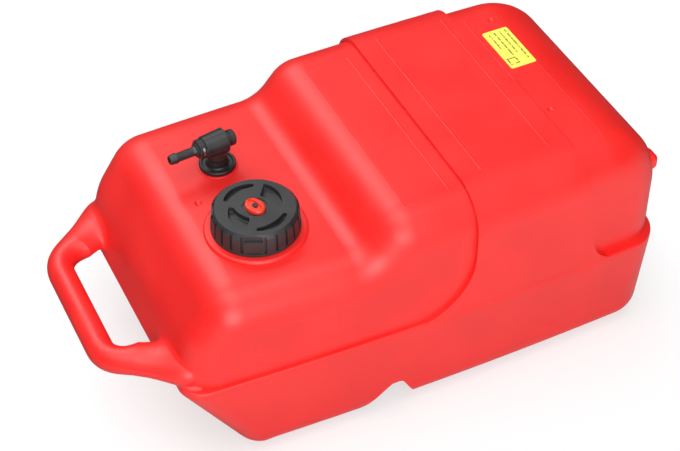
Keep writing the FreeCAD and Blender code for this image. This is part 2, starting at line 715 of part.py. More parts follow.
def arc_pair(start, start_way, end, end_way):
    # two arcs that leave the start and reach the end along the given ways
    chord = end - start
    ways = start_way + end_way
    bend = 2 * (1 - start_way.dot(end_way))
    reach = (sqrt(chord.dot(ways) ** 2 + bend * chord.dot(chord)) - chord.dot(ways)) / bend
    corners = [start + start_way * reach, end - end_way * reach]
    joint = (corners[0] + corners[1]) * 0.5
    arcs = []
    for first, corner, last in ((start, corners[0], joint), (joint, corners[1], end)):
        middle = (first + last) * 0.5
        half = (last - first).Length / 2
        arcs.append(Part.Arc(first, middle + (corner - middle) * (half / (half + reach)), last).toShape())
    return arcs


def coil(mid, wire, z0, z1, quarters, x, y):
    # open helical spring between two heights, a quarter turn at a time
    rise = (z1 - z0 - 2 * wire) / quarters
    slope = rise / (mid * pi / 2)
    points = []
    ways = []
    for k in range(quarters + 1):
        angle = k * pi / 2
        points.append(V(x + mid * cos(angle), y + mid * sin(angle), z0 + wire + k * rise))
        ways.append(V(-sin(angle), cos(angle), slope).normalize())
    arcs = []
    for k in range(quarters):
        arcs += arc_pair(points[k], ways[k], points[k + 1], ways[k + 1])
    section = Part.Wire(Part.makeCircle(wire, points[0], ways[0]))
    return Part.Wire(arcs).makePipeShell([section], True, False)


def vent_spring():
    foot = VENT_CLIP_Z + VENT_CLIP_THICK
    return coil(COIL_R, COIL_WIRE_R, foot, VALVE_TOP_Z - VALVE_THICK, 14, CAP_X, CAP_Y)


# Outlet fitting

def outlet_gasket():
    return ring(FLANGE_R - 0.6, SHANK_R, OUT_SEAT_Z, FLANGE_Z, OUT_X, OUT_Y)


def outlet_base():
    top = FLANGE_Z + FLANGE_THICK
    body = turned([
        (BORE_R, NIPPLE_FOOT_Z), (TUBE_BORE_R, NIPPLE_FOOT_Z), (TUBE_BORE_R, SHANK_FOOT_Z),
        (SHANK_R, SHANK_FOOT_Z), (SHANK_R, FLANGE_Z), (FLANGE_R, FLANGE_Z), (FLANGE_R, top - 0.8),
        (FLANGE_R - 0.8, top), (FLANGE_R - 2.4, top), (FLANGE_R - 3.2, top - 1), (10.6, top - 1),
        (9.6, top), (9.0, SOCKET_FOOT_Z - 0.4), (SPIGOT_R, SOCKET_FOOT_Z - 0.4),
        (SPIGOT_R, SNAP_Z - 0.3), (SPIGOT_R - 0.8, SNAP_Z - 0.3), (SPIGOT_R - 0.8, SNAP_Z + SNAP_THICK + 0.3),
        (SPIGOT_R, SNAP_Z + SNAP_THICK + 0.3), (SPIGOT_R, STEM_RING_Z - 0.65),
        (RING_SEAT_R - 0.05, STEM_RING_Z - 0.65), (RING_SEAT_R - 0.05, STEM_RING_Z + 0.65),
        (SPIGOT_R, STEM_RING_Z + 0.65), (SPIGOT_R, SPIGOT_TOP_Z - 0.6), (SPIGOT_R - 0.6, SPIGOT_TOP_Z),
        (BORE_R, SPIGOT_TOP_Z)], OUT_X, OUT_Y)
    return body.cut(cyl(CHAMBER_R, CHAMBER_FOOT_Z, CHAMBER_TOP_Z, OUT_X, OUT_Y))


def outlet_nut():
    corners = []
    for k in range(7):
        a = k * pi / 3
        reach = NUT_FLATS_R / cos(pi / 6)
        corners.append(V(OUT_X + reach * cos(a), OUT_Y + reach * sin(a), DECK_Z - WALL - NUT_THICK))
    nut = Part.Face(Part.makePolygon(corners)).extrude(V(0, 0, NUT_THICK))
    return nut.cut(cyl(SHANK_R, 100, 220, OUT_X, OUT_Y))


def stem_o_ring():
    return torus_z(RING_MID_R - 0.05, RING_WIRE_R, OUT_X, OUT_Y, STEM_RING_Z)


def elbow_body():
    def at(distance):
        return OUT_X + distance
    bore = SPIGOT_R + SWIVEL_GAP
    body = cyl(SOCKET_R, SOCKET_FOOT_Z, BARREL_Z, OUT_X, OUT_Y)
    barrel = turned_x([(-SLEEVE_END, 0), (-SLEEVE_END, SLEEVE_R - 0.8), (-SLEEVE_END + 0.8, SLEEVE_R),
                       (-BARREL_BACK, SLEEVE_R), (-BARREL_BACK, BARREL_R - 0.7), (-BARREL_BACK + 0.7, BARREL_R),
                       (BARREL_HALF - 0.9, BARREL_END_R), (BARREL_HALF, BARREL_END_R - 0.9), (BARREL_HALF, 0)], 0, 0)
    barrel.translate(V(OUT_X, OUT_Y, BARREL_Z))
    body = body.fuse(barrel)
    body = body.cut(cyl_x(BARREL_BORE_R, at(-SLEEVE_END - 1), at(BARREL_HALF + 1), OUT_Y, BARREL_Z))
    body = body.cut(cyl(bore, SOCKET_FOOT_Z - 1, SPIGOT_TOP_Z + 0.4, OUT_X, OUT_Y))
    body = body.cut(cyl(BORE_R, 205, BARREL_Z, OUT_X, OUT_Y))
    body = body.cut(cyl(SPIGOT_R + 1.2, SNAP_Z, SNAP_Z + SNAP_THICK, OUT_X, OUT_Y))
    slot = box(at(-CLIP_X - CLIP_HALF - 0.1), at(-CLIP_X + CLIP_HALF + 0.1), OUT_Y - 12, OUT_Y + 12,
               BARREL_Z - 0.8, BARREL_Z + 5.6)
    return one_solid(body.cut(slot))


def elbow_snap_ring():
    snap = ring(SPIGOT_R + 1.2, SPIGOT_R - 0.65, SNAP_Z, SNAP_Z + SNAP_THICK, OUT_X, OUT_Y)
    return snap.cut(box(OUT_X, OUT_X + 9, OUT_Y - 2, OUT_Y + 2, SNAP_Z - 1, SNAP_Z + 2))


def ring_groove(at, flip):
    # seal groove in a plug of the barrel, as outline corners
    low, high = at - 0.65, at + 0.65
    steps = [(low, BARREL_BORE_R - 0.05), (low, RING_SEAT_R), (high, RING_SEAT_R), (high, BARREL_BORE_R - 0.05)]
    return [(flip * x, r) for x, r in steps]


def hose_barb():
    fit = BARREL_BORE_R - 0.05
    clip_low, clip_high = CLIP_X - CLIP_HALF, CLIP_X + CLIP_HALF
    outline = [
        (-BARB_TIP, BORE_R), (-BARB_TIP, 3.6), (-BARB_TIP + 0.6, 4.2), (-BARB_RIDGE - 0.4, BARB_RIDGE_R),
        (-BARB_RIDGE, BARB_RIDGE_R), (-BARB_RIDGE + 0.3, BARB_R), (-BARB_SHOULDER - 2.4, BARB_R),
        (-BARB_SHOULDER, BARB_R + 0.8), (-BARB_SHOULDER, BARB_SHOULDER_R - 0.6),
        (-BARB_SHOULDER + 0.6, BARB_SHOULDER_R), (-SLEEVE_END, BARB_SHOULDER_R), (-SLEEVE_END, fit),
        (-clip_high, fit), (-clip_high, 4.9), (-clip_low, 4.9), (-clip_low, fit)]
    outline += list(reversed(ring_groove(BARB_RING, -1)))
    outline += [(-BARB_INNER, fit), (-BARB_INNER, BORE_R)]
    body = turned_x(outline, OUT_Y, BARREL_Z)
    body.translate(V(OUT_X, 0, 0))
    return body


def barb_clip():
    mid = V(OUT_X - CLIP_X - CLIP_HALF, OUT_Y, BARREL_Z)
    clip = Part.makeCylinder(SLEEVE_R + 0.5, 2 * CLIP_HALF, mid, X_AXIS)
    clip = clip.cut(Part.makeCylinder(4.9, 2 * CLIP_HALF, mid, X_AXIS))
    keep = box(OUT_X - 20, OUT_X, OUT_Y - 12, OUT_Y + 12, BARREL_Z - 0.6, BARREL_Z + 5.4)
    legs = clip.common(keep)
    bridge = box(OUT_X - CLIP_X - CLIP_HALF, OUT_X - CLIP_X + CLIP_HALF, OUT_Y - 4, OUT_Y + 4,
                 BARREL_Z - 0.6, BARREL_Z + 5.4)
    return max(legs.cut(bridge).Solids, key=lambda s: -s.CenterOfMass.y)


def barrel_ring(at):
    return Part.makeTorus(RING_MID_R, RING_WIRE_R, V(OUT_X + at, OUT_Y, BARREL_Z), X_AXIS)


def end_plug():
    fit = BARREL_BORE_R - 0.05
    outline = [(PLUG_INNER, 0), (PLUG_INNER, fit)] + ring_groove(PLUG_RING, 1)
    outline += [(BARREL_HALF, fit), (BARREL_HALF, PLUG_R), (BARREL_HALF + 2.2, PLUG_R),
                (BARREL_HALF + 2.2, PLUG_R - 0.9), (BARREL_HALF + 3.4, PLUG_R - 0.9),
                (BARREL_HALF + 3.4, PLUG_R), (PLUG_END - 1.4, PLUG_R), (PLUG_END, PLUG_R - 1.4), (PLUG_END, 0)]
    body = turned_x(outline, OUT_Y, BARREL_Z)
    body.translate(V(OUT_X, 0, 0))
    return body


def check_ball():
    seat = CHAMBER_FOOT_Z + sqrt(BALL_R ** 2 - BORE_R ** 2)
    return Part.makeSphere(BALL_R, V(OUT_X, OUT_Y, seat + BALL_LIFT))


def check_spring():
    ball_mid = CHAMBER_FOOT_Z + sqrt(BALL_R ** 2 - BORE_R ** 2) + BALL_LIFT
    foot = ball_mid + sqrt(BALL_R ** 2 - BALL_COIL_R ** 2) + 0.25
    return coil(BALL_COIL_R + 0.35, BALL_WIRE_R, foot, CHAMBER_TOP_Z, 14, OUT_X, OUT_Y)


def pickup_tube():
    return ring(TUBE_R, TUBE_BORE_R, TUBE_FOOT_Z, SHANK_FOOT_Z, OUT_X, OUT_Y)


def strainer_cage():
    cage = cyl(CAGE_R, CAGE_FOOT_Z, CAGE_TOP_Z, OUT_X, OUT_Y)
    cage = cage.cut(cyl(CAGE_R - CAGE_WALL, CAGE_FOOT_Z + 1.5, TUBE_FOOT_Z - 1, OUT_X, OUT_Y))
    cage = cage.cut(cyl(TUBE_BORE_R, CAGE_FOOT_Z + 3, TUBE_FOOT_Z, OUT_X, OUT_Y))
    cage = cage.cut(cyl(TUBE_R, TUBE_FOOT_Z, CAGE_TOP_Z + 1, OUT_X, OUT_Y))
    for k in range(3):
        window = box(OUT_X - 12, OUT_X + 12, OUT_Y - 3, OUT_Y + 3, CAGE_FOOT_Z + 3, TUBE_FOOT_Z - 3)
        cage = cage.cut(spun(window, 60 * k, OUT_X, OUT_Y))
    return one_solid(cage)


def strainer_mesh():
    return ring(MESH_R, MESH_R - MESH_THICK, CAGE_FOOT_Z + 1.5, TUBE_FOOT_Z - 1, OUT_X, OUT_Y)


ELBOW_PIECES = ("elbow_body", "elbow_snap_ring", "hose_barb", "barb_clip", "barb_o_ring", "end_plug",
                "plug_o_ring")
MID_X = (BAR_X - BAR_R + REAR_X) / 2


def save(name, shape):
    if len(shape.Solids) != 1 or not shape.isValid():
        print("check", name, len(shape.Solids), shape.isValid())
    shape = shape.Solids[0]
    if name in ELBOW_PIECES:
        shape = spun(shape, ELBOW_TURN, OUT_X, OUT_Y)
    shape.translate(V(-MID_X, 0, 0))
    shape.exportStep("parts/" + name + ".step")
    print(name, round(shape.Volume / 1000, 2), "cm3")


PIECES = {
    "tank_body": tank_body,
    "info_label": info_label,
    "cap_shell": cap_shell,
    "cap_core": cap_core,
    "cap_gasket": cap_gasket,
    "vent_knob": vent_knob,
    "vent_spindle": vent_spindle,
    "vent_o_ring": vent_o_ring,
    "vent_valve": vent_valve,
    "vent_clip": vent_clip,
    "vent_spring": vent_spring,
    "outlet_gasket": outlet_gasket,
    "outlet_base": outlet_base,
    "outlet_nut": outlet_nut,
    "stem_o_ring": stem_o_ring,
    "elbow_body": elbow_body,
    "elbow_snap_ring": elbow_snap_ring,
    "hose_barb": hose_barb,
    "barb_clip": barb_clip,
    "barb_o_ring": lambda: barrel_ring(-BARB_RING),
    "end_plug": end_plug,
    "plug_o_ring": lambda: barrel_ring(PLUG_RING),
    "check_ball": check_ball,
    "check_spring": check_spring,
    "pickup_tube": pickup_tube,
    "strainer_cage": strainer_cage,
    "strainer_mesh": strainer_mesh,
}

os.makedirs("parts", exist_ok=True)
for piece, make in PIECES.items():
    save(piece, make())
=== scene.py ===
import bpy, bmesh, math
import numpy as np
from mathutils import Matrix, Vector
from mathutils.bvhtree import BVHTree


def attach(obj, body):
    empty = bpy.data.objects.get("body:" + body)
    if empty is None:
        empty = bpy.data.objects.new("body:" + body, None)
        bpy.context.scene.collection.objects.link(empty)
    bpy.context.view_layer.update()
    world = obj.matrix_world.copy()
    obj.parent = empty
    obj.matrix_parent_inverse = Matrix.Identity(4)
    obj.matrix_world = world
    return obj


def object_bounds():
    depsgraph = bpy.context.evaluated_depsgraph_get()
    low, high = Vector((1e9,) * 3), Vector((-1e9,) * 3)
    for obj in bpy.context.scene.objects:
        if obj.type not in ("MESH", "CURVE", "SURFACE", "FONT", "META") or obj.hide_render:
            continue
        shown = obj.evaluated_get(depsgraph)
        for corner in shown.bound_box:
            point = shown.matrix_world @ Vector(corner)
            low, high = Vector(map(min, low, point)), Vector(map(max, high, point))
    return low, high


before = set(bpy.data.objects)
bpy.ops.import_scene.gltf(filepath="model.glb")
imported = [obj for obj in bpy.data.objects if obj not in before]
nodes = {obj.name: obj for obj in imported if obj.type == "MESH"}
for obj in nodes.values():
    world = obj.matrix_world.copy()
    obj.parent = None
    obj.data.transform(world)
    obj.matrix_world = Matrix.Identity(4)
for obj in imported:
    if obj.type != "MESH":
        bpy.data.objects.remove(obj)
cad_low, cad_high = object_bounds()

# Node helpers

class Tree:
    """Short-hand for building a material or group node tree."""

    def __init__(self, tree):
        self.tree = tree

    def add(self, kind, **values):
        made = self.tree.nodes.new(kind)
        for key, value in values.items():
            setattr(made, key, value)
        return made

    def link(self, out, into):
        self.tree.links.new(out, into)

    def math(self, operation, a, b=None, c=None, clamp=False):
        made = self.add("ShaderNodeMath", operation=operation, use_clamp=clamp)
        for i, value in enumerate((a, b, c)):
            if value is None:
                continue
            if isinstance(value, (int, float)):
                made.inputs[i].default_value = value
            else:
                self.link(value, made.inputs[i])
        return made.outputs[0]

    def remap(self, value, low, high, out_low=0.0, out_high=1.0):
        made = self.add("ShaderNodeMapRange", interpolation_type="SMOOTHSTEP")
        self.link(value, made.inputs["Value"])
        ends = {"From Min": low, "From Max": high, "To Min": out_low, "To Max": out_high}
        for name, number in ends.items():
            made.inputs[name].default_value = number
        return made.outputs["Result"]

    def noise(self, vector, scale, detail=3.0, roughness=0.5):
        made = self.add("ShaderNodeTexNoise")
        self.link(vector, made.inputs["Vector"])
        made.inputs["Scale"].default_value = scale
        made.inputs["Detail"].default_value = detail
        made.inputs["Roughness"].default_value = roughness
        return made.outputs["Fac"]

    def mix_colour(self, share, a, b):
        made = self.add("ShaderNodeMix", data_type="RGBA")
        self.link(share, made.inputs["Factor"])
        for name, value in (("A", a), ("B", b)):
            socket = [s for s in made.inputs if s.name == name and s.type == "RGBA"][0]
            if isinstance(value, tuple):
                socket.default_value = (*value, 1.0)
            else:
                self.link(value, socket)
        return [s for s in made.outputs if s.type == "RGBA"][0]


def new_group(name, inputs, outputs):
    group = bpy.data.node_groups.new(name, "ShaderNodeTree")
    for label, kind, default in inputs:
        socket = group.interface.new_socket(name=label, in_out="INPUT", socket_type=kind)
        if default is not None:
            socket.default_value = default
    for label, kind in outputs:
        group.interface.new_socket(name=label, in_out="OUTPUT", socket_type=kind)
    tree = Tree(group)
    return group, tree, tree.add("NodeGroupInput"), tree.add("NodeGroupOutput")


def moulded_grain_group():
    """Fine mould grain and slow waviness of a moulded plastic wall, as one height value."""
    group, t, gin, gout = new_group("moulded_grain", [
        ("Vector", "NodeSocketVector", None), ("Grain Scale", "NodeSocketFloat", 900.0),
        ("Wave Scale", "NodeSocketFloat", 14.0), ("Wave Share", "NodeSocketFloat", 0.5)],
        [("Height", "NodeSocketFloat"), ("Blotch", "NodeSocketFloat")])
    grain = t.add("ShaderNodeTexNoise")
    grain.inputs["Detail"].default_value = 2.0
    t.link(gin.outputs["Vector"], grain.inputs["Vector"])
    t.link(gin.outputs["Grain Scale"], grain.inputs["Scale"])
    wave = t.add("ShaderNodeTexNoise")
    wave.inputs["Detail"].default_value = 1.5
    t.link(gin.outputs["Vector"], wave.inputs["Vector"])
    t.link(gin.outputs["Wave Scale"], wave.inputs["Scale"])
    fine = t.math("MULTIPLY", grain.outputs["Fac"], 0.06)
    slow = t.math("MULTIPLY", wave.outputs["Fac"], gin.outputs["Wave Share"])
    t.link(t.math("ADD", fine, slow), gout.inputs["Height"])
    t.link(wave.outputs["Fac"], gout.inputs["Blotch"])
    return group


def scuff_group():
    """Thin random scratches as a mask from 0 to 1."""
    group, t, gin, gout = new_group("fine_scuffs", [
        ("Vector", "NodeSocketVector", None), ("Scale", "NodeSocketFloat", 30.0)],
        [("Mask", "NodeSocketFloat")])
    masks = []
    for turn, stretch in ((0.5, 9.0), (1.9, 7.0)):
        place = t.add("ShaderNodeMapping")
        place.inputs["Rotation"].default_value = (0.2, 0.1, turn)
        place.inputs["Scale"].default_value = (1.0, stretch, stretch)
        t.link(gin.outputs["Vector"], place.inputs["Vector"])
        noise = t.add("ShaderNodeTexNoise")
        noise.inputs["Detail"].default_value = 4.0
        t.link(place.outputs["Vector"], noise.inputs["Vector"])
        t.link(gin.outputs["Scale"], noise.inputs["Scale"])
        masks.append(t.remap(noise.outputs["Fac"], 0.66, 0.74))
    t.link(t.math("MAXIMUM", masks[0], masks[1]), gout.inputs["Mask"])
    return group


def outline_group():
    """Outline of a rectangle around a centre in the plane of two coordinates."""
    group, t, gin, gout = new_group("insert_outline", [
        ("Along", "NodeSocketFloat", 0.0), ("Across", "NodeSocketFloat", 0.0),
        ("Middle Along", "NodeSocketFloat", 0.0), ("Middle Across", "NodeSocketFloat", 0.0),
        ("Half Along", "NodeSocketFloat", 0.1), ("Half Across", "NodeSocketFloat", 0.1),
        ("Width", "NodeSocketFloat", 0.001)],
        [("Line", "NodeSocketFloat"), ("Inside", "NodeSocketFloat")])
    sides = []
    for way in ("Along", "Across"):
        off = t.math("ABSOLUTE", t.math("SUBTRACT", gin.outputs[way], gin.outputs["Middle " + way]))
        sides.append(t.math("SUBTRACT", off, gin.outputs["Half " + way]))
    edge = t.math("MAXIMUM", sides[0], sides[1])
    near = t.math("DIVIDE", t.math("ABSOLUTE", edge), gin.outputs["Width"])
    t.link(t.math("SUBTRACT", 1.0, near, clamp=True), gout.inputs["Line"])
    t.link(t.math("LESS_THAN", edge, 0.0), gout.inputs["Inside"])
    return group


MOULDED_GRAIN = moulded_grain_group()
SCUFFS = scuff_group()
OUTLINE = outline_group()


def new_material(name):
    material = bpy.data.materials.new(name)
    material.use_nodes = True
    tree = Tree(material.node_tree)
    shader = material.node_tree.nodes["Principled BSDF"]
    place = tree.add("ShaderNodeTexCoord").outputs["Object"]
    return material, tree, shader, place


def use_group(tree, group, place, **values):
    made = tree.add("ShaderNodeGroup", node_tree=group)
    if place is not None:
        tree.link(place, made.inputs["Vector"])
    for key, value in values.items():
        socket = made.inputs[key.replace("_", " ")]
        if isinstance(value, (int, float)):
            socket.default_value = value
        else:
            tree.link(value, socket)
    return made


def bump(tree, shader, height, strength, distance):
    made = tree.add("ShaderNodeBump")
    made.inputs["Strength"].default_value = strength
    made.inputs["Distance"].default_value = distance
    tree.link(height, made.inputs["Height"])
    tree.link(made.outputs["Normal"], shader.inputs["Normal"])


# Outlines of the mould inserts in metres: middle and half sizes
TOP_OUTLINES = (
    (0.0281, -0.0071, 0.0213, 0.0986),
    (0.1159, 0.0, 0.0330, 0.0980),
    (0.1849, -0.0086, 0.0155, 0.0974),
)
SIDE_OUTLINE = (-0.1016, 0.1395, 0.0375, 0.0085)
OUTLINE_WIDTH = 0.0008


def insert_lines(t, along, across, box, where):
    """Line mask of one insert outline, kept to the part of the wall given by where."""
    mid_along, mid_across, half_along, half_across = box
    line = use_group(t, OUTLINE, None, Along=along, Across=across, Middle_Along=mid_along,
                     Middle_Across=mid_across, Half_Along=half_along, Half_Across=half_across,
                     Width=OUTLINE_WIDTH)
    return t.math("MULTIPLY", line.outputs["Line"], where)


def tank_red():
    material, t, shader, place = new_material("tank_red_moulded")
    grain = use_group(t, MOULDED_GRAIN, place, Grain_Scale=620.0, Wave_Scale=16.0, Wave_Share=0.8)
    scuffs = use_group(t, SCUFFS, place, Scale=22.0)
    axes = t.add("ShaderNodeSeparateXYZ")
    t.link(place, axes.inputs[0])
    x, y, z = axes.outputs
    on_deck = t.remap(z, 0.214, 0.217)
    on_near_side = t.remap(y, -0.110, -0.114)
    lines = [insert_lines(t, x, y, box, on_deck) for box in TOP_OUTLINES]
    lines.append(insert_lines(t, x, z, SIDE_OUTLINE, on_near_side))
    marks = lines[0]
    for line in lines[1:]:
        marks = t.math("ADD", marks, line)
    blotch = t.remap(grain.outputs["Blotch"], 0.3, 0.7)
    colour = t.mix_colour(blotch, (0.80, 0.016, 0.014), (0.87, 0.022, 0.019))
    t.link(colour, shader.inputs["Base Color"])
    rough = t.remap(grain.outputs["Blotch"], 0.2, 0.8, 0.36, 0.44)
    rough = t.math("ADD", rough, t.math("MULTIPLY", scuffs.outputs["Mask"], 0.08))
    t.link(rough, shader.inputs["Roughness"])
    shader.inputs["IOR"].default_value = 1.5
    shader.inputs["Subsurface Weight"].default_value = 0.12
    shader.inputs["Subsurface Radius"].default_value = (1.0, 0.2, 0.15)
    shader.inputs["Subsurface Scale"].default_value = 0.004
    height = t.math("ADD", grain.outputs["Height"], t.math("MULTIPLY", marks, 0.35))
    bump(t, shader, height, 0.55, 0.0009)
    return material


def black_plastic(name, low, high, rough_low, rough_high, scale):
    material, t, shader, place = new_material(name)
    grain = use_group(t, MOULDED_GRAIN, place, Grain_Scale=scale, Wave_Scale=60.0, Wave_Share=0.25)
    scuffs = use_group(t, SCUFFS, place, Scale=90.0)
    colour = t.mix_colour(t.remap(grain.outputs["Blotch"], 0.3, 0.7), (low, low * 1.02, low * 1.08),
                          (high, high * 1.02, high * 1.08))
    colour = t.mix_colour(t.math("MULTIPLY", scuffs.outputs["Mask"], 0.35), colour, (0.12, 0.12, 0.125))
    t.link(colour, shader.inputs["Base Color"])
    t.link(t.remap(grain.outputs["Blotch"], 0.2, 0.8, rough_low, rough_high), shader.inputs["Roughness"])
    bump(t, shader, grain.outputs["Height"], 0.5, 0.0006)
    return material


def knob_red():
    material, t, shader, place = new_material("knob_red_plastic")
    grain = use_group(t, MOULDED_GRAIN, place, Grain_Scale=1500.0, Wave_Scale=120.0, Wave_Share=0.2)
    blotch = t.remap(grain.outputs["Blotch"], 0.3, 0.7)
    colour = t.mix_colour(blotch, (0.82, 0.030, 0.010), (0.90, 0.044, 0.016))
    t.link(colour, shader.inputs["Base Color"])
    t.link(t.remap(grain.outputs["Blotch"], 0.2, 0.8, 0.26, 0.34), shader.inputs["Roughness"])
    bump(t, shader, grain.outputs["Height"], 0.4, 0.0004)
    return material


# Ruled bars of the label in metres: middle x, middle y and half length
LABEL_BARS = (
    (0.1964, 0.0400, 0.0225),
    (0.1909, 0.0450, 0.0170),
    (0.1854, 0.0440, 0.0180),
    (0.1799, 0.0500, 0.0110),
)
LABEL_SQUARE = (0.1814, 0.0190, 0.0040)
BAR_HALF_WIDTH = 0.0007


def label_yellow():
    """Plain yellow film with ruled grey bars and one square box, no lettering."""
    material, t, shader, place = new_material("label_yellow_film")
    axes = t.add("ShaderNodeSeparateXYZ")
    t.link(place, axes.inputs[0])
    x, y, z = axes.outputs
    bars = None
    for mid_x, mid_y, half_y in LABEL_BARS:
        bar = use_group(t, OUTLINE, None, Along=x, Across=y, Middle_Along=mid_x, Middle_Across=mid_y,
                        Half_Along=BAR_HALF_WIDTH, Half_Across=half_y, Width=0.0004)
        bars = bar.outputs["Inside"] if bars is None else t.math("MAXIMUM", bars, bar.outputs["Inside"])
    mid_x, mid_y, half = LABEL_SQUARE
    square = use_group(t, OUTLINE, None, Along=x, Across=y, Middle_Along=mid_x, Middle_Across=mid_y,
                       Half_Along=half, Half_Across=half, Width=0.0008)
    ink = t.math("MAXIMUM", bars, t.math("GREATER_THAN", square.outputs["Line"], 0.2))
    wear = t.remap(t.noise(place, 420.0, 4.0), 0.38, 0.52)
    ink = t.math("MULTIPLY", ink, wear)
    fibre = t.noise(place, 260.0, 4.0)
    yellow = t.mix_colour(t.remap(fibre, 0.3, 0.7), (0.88, 0.82, 0.10), (0.95, 0.90, 0.15))
    t.link(t.mix_colour(ink, yellow, (0.16, 0.15, 0.06)), shader.inputs["Base Color"])
    t.link(t.remap(fibre, 0.2, 0.8, 0.34, 0.46), shader.inputs["Roughness"])
    bump(t, shader, fibre, 0.15, 0.0002)
    return material


def rubber():
    material, t, shader, place = new_material("seal_rubber_black")
    grain = use_group(t, MOULDED_GRAIN, place, Grain_Scale=2200.0, Wave_Scale=150.0, Wave_Share=0.3)
    blotch = t.remap(grain.outputs["Blotch"], 0.3, 0.7)
    colour = t.mix_colour(blotch, (0.012, 0.012, 0.013), (0.022, 0.022, 0.023))
    t.link(colour, shader.inputs["Base Color"])
    t.link(t.remap(grain.outputs["Blotch"], 0.2, 0.8, 0.6, 0.75), shader.inputs["Roughness"])
    bump(t, shader, grain.outputs["Height"], 0.5, 0.0004)
    return material


def steel(name, low, high):
    material, t, shader, place = new_material(name)
    place_map = t.add("ShaderNodeMapping")
    place_map.inputs["Scale"].default_value = (1.0, 1.0, 14.0)
    t.link(place, place_map.inputs["Vector"])
    streak = t.noise(place_map.outputs["Vector"], 500.0, 4.0)
    t.link(t.mix_colour(streak, (low, low, low * 1.02), (high, high, high)), shader.inputs["Base Color"])
    shader.inputs["Metallic"].default_value = 1.0
    t.link(t.remap(streak, 0.2, 0.8, 0.18, 0.34), shader.inputs["Roughness"])
    bump(t, shader, streak, 0.2, 0.0002)
    return material


def pale_plastic(name, low, high):
    material, t, shader, place = new_material(name)
    grain = use_group(t, MOULDED_GRAIN, place, Grain_Scale=1200.0, Wave_Scale=60.0, Wave_Share=0.3)
    blotch = t.remap(grain.outputs["Blotch"], 0.3, 0.7)
    colour = t.mix_colour(blotch, (low, low, low * 0.97), (high, high, high * 0.97))
    t.link(colour, shader.inputs["Base Color"])
    t.link(t.remap(grain.outputs["Blotch"], 0.2, 0.8, 0.36, 0.5), shader.inputs["Roughness"])
    bump(t, shader, grain.outputs["Height"], 0.4, 0.0005)
    return material


def mesh_steel():
    """Woven strainer cloth: fine crossed wires from two wave bands."""
    material, t, shader, place = new_material("strainer_cloth")
    waves = []
    for direction in ("X", "Z"):
        wave = t.add("ShaderNodeTexWave", wave_type="BANDS", bands_direction=direction)
        wave.inputs["Scale"].default_value = 420.0
        t.link(place, wave.inputs["Vector"])
        waves.append(wave.outputs["Fac"])
    cloth = t.math("MULTIPLY", waves[0], waves[1])
    t.link(t.mix_colour(cloth, (0.18, 0.18, 0.17), (0.62, 0.62, 0.6)), shader.inputs["Base Color"])
    shader.inputs["Metallic"].default_value = 1.0
    t.link(t.remap(cloth, 0.0, 1.0, 0.5, 0.3), shader.inputs["Roughness"])
    bump(t, shader, cloth, 0.6, 0.0003)
    return material


MATERIALS = {
    "tank_body": tank_red(),
    "info_label": label_yellow(),
    "vent_knob": knob_red(),
    "cap_shell": black_plastic("cap_black_plastic", 0.020, 0.028, 0.36, 0.46, 900.0),
    "elbow_body": black_plastic("fitting_black_plastic", 0.014, 0.021, 0.30, 0.42, 1300.0),
    "cap_core": black_plastic("core_black_plastic", 0.016, 0.022, 0.40, 0.5, 900.0),
    "cap_gasket": rubber(),
    "barb_clip": steel("clip_steel_bright", 0.55, 0.75),
    "vent_valve": pale_plastic("valve_white_plastic", 0.62, 0.72),
    "pickup_tube": pale_plastic("tube_grey_plastic", 0.38, 0.46),
    "strainer_mesh": mesh_steel(),
}
SAME_AS = {
    "hose_barb": "elbow_body", "end_plug": "elbow_body", "outlet_base": "elbow_body",
    "vent_spindle": "cap_core", "outlet_nut": "cap_core",
    "vent_o_ring": "cap_gasket", "stem_o_ring": "cap_gasket", "barb_o_ring": "cap_gasket",
    "plug_o_ring": "cap_gasket", "outlet_gasket": "cap_gasket",
    "vent_clip": "barb_clip", "vent_spring": "barb_clip", "elbow_snap_ring": "barb_clip",
    "check_spring": "barb_clip", "check_ball": "vent_valve", "strainer_cage": "pickup_tube",
}
for name, node in nodes.items():
    material = MATERIALS[SAME_AS.get(name, name)]
    for i in range(max(1, len(node.data.materials))):
        if i < len(node.material_slots):
            node.material_slots[i].material = material
        else:
            node.data.materials.append(material)


# Soft blends of the handle

BLEND_VOXEL = 0.0011
BLEND_ROUNDS = 70
BLEND_RATE = 0.5
BLEND_SINK = 0.00010
BLEND_COVER = 0.0003
BLEND_BOX = ((-0.300, -0.150, 0.072), (-0.168, 0.150, 0.168))


def ramp(value, start, full):
    """Smooth share from 0 at start to 1 at full."""
    share = np.clip((value - start) / (full - start), 0.0, 1.0)
    return share * share * (3.0 - 2.0 * share)


def cut_block(source):
    """Closed block of the tank wall round the handle and the foot of the nose."""
    work = bmesh.new()
    work.from_mesh(source)
    bmesh.ops.remove_doubles(work, verts=work.verts, dist=0.00001)
    low, high = BLEND_BOX
    planes = (((high[0], 0, 0), (1, 0, 0)), ((0, 0, low[2]), (0, 0, -1)), ((0, 0, high[2]), (0, 0, 1)))
    for point, way in planes:
        every = work.verts[:] + work.edges[:] + work.faces[:]
        cut = bmesh.ops.bisect_plane(work, geom=every, plane_co=point, plane_no=way, clear_outer=True)
        rim = [e for e in cut["geom_cut"] if isinstance(e, bmesh.types.BMEdge)]
        bmesh.ops.holes_fill(work, edges=rim, sides=0)
    bmesh.ops.triangulate(work, faces=work.faces[:])
    mesh = bpy.data.meshes.new("handle_block")
    work.to_mesh(mesh)
    work.free()
    return mesh


